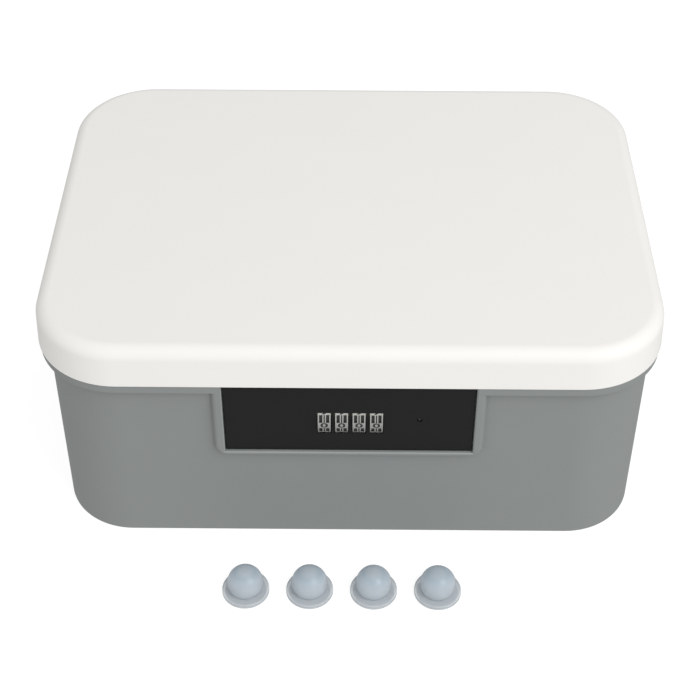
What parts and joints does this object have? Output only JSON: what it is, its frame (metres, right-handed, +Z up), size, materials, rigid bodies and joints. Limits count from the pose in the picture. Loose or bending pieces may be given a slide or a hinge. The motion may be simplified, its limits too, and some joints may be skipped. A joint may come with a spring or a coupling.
{
  "type": "medication lock box",
  "caption": "Plastic medication box with a hinged lid, a front combination lock with number dials, and loose silicone feet.",
  "frame": {"origin": "on the ground, at the centre of the tub's flat underside", "axes": "+X to the right seen from the front, +Y to the hinges at the back, +Z up"},
  "size_m": [0.3, 0.2777, 0.1262],
  "materials": {
    "grey_plastic": "moulded grey plastic with a fine satin texture",
    "white_plastic": "moulded warm white plastic, fine satin texture",
    "black_plastic": "smooth black satin plastic",
    "housing_plastic": "moulded black plastic",
    "cover_plastic": "moulded dark grey plastic",
    "dial_metal": "plated zinc with darkened recesses",
    "tumbler_brass": "turned brass",
    "steel": "zinc-plated steel",
    "dark_steel": "blackened steel",
    "spring_steel": "drawn spring wire",
    "screw_steel": "zinc-plated screws",
    "silicone": "translucent pale silicone"
  },
  "bodies": {
    "box": {"tub": "grey_plastic", "lock_panel": "black_plastic", "lock_housing": "housing_plastic", "housing_cover": "cover_plastic", "detent_spring": "spring_steel", "housing_screw_1": "screw_steel", "housing_screw_2": "screw_steel", "housing_screw_3": "screw_steel", "housing_screw_4": "screw_steel", "hinge_pin_left": "steel", "hinge_pin_right": "steel", "bolt_spring": "spring_steel", "reset_spring": "spring_steel", "foot_pad_1": "silicone", "foot_pad_2": "silicone", "foot_pad_3": "silicone", "foot_pad_4": "silicone"},
    "lid": {"lid": "white_plastic", "lid_strike": "steel", "strike_screw_1": "screw_steel", "strike_screw_2": "screw_steel"},
    "dial_1": {"dial_1": "dial_metal", "tumbler_1": "tumbler_brass"},
    "dial_2": {"dial_2": "dial_metal", "tumbler_2": "tumbler_brass"},
    "dial_3": {"dial_3": "dial_metal", "tumbler_3": "tumbler_brass"},
    "dial_4": {"dial_4": "dial_metal", "tumbler_4": "tumbler_brass"},
    "bolt": {"spindle_bolt": "steel"},
    "reset": {"reset_button": "dark_steel"}
  },
  "joints": [
    {"name": "lid_hinge", "type": "hinge", "parent": "box", "child": "lid", "pos_m": [0, 0.1156, 0.101], "axis": [-1, 0, 0], "range_deg": [0, 100]},
    {"name": "dial_1_turn", "type": "hinge", "parent": "box", "child": "dial_1", "pos_m": [-0.01178, -0.09905, 0.0797], "axis": [1, 0, 0], "continuous": true},
    {"name": "dial_2_turn", "type": "hinge", "parent": "box", "child": "dial_2", "pos_m": [-0.00352, -0.09905, 0.0797], "axis": [1, 0, 0], "continuous": true},
    {"name": "dial_3_turn", "type": "hinge", "parent": "box", "child": "dial_3", "pos_m": [0.00473, -0.09905, 0.0797], "axis": [1, 0, 0], "continuous": true},
    {"name": "dial_4_turn", "type": "hinge", "parent": "box", "child": "dial_4", "pos_m": [0.01298, -0.09905, 0.0797], "axis": [1, 0, 0], "continuous": true},
    {"name": "bolt_slide", "type": "slide", "parent": "box", "child": "bolt", "axis": [-1, 0, 0], "range_m": [0, 0.003], "stiffness_N_per_m": 150, "deforming": ["bolt_spring"]},
    {"name": "reset_press", "type": "slide", "parent": "box", "child": "reset", "axis": [0, 1, 0], "range_m": [0, 0.0015], "stiffness_N_per_m": 200, "deforming": ["reset_spring"]}
  ]
}
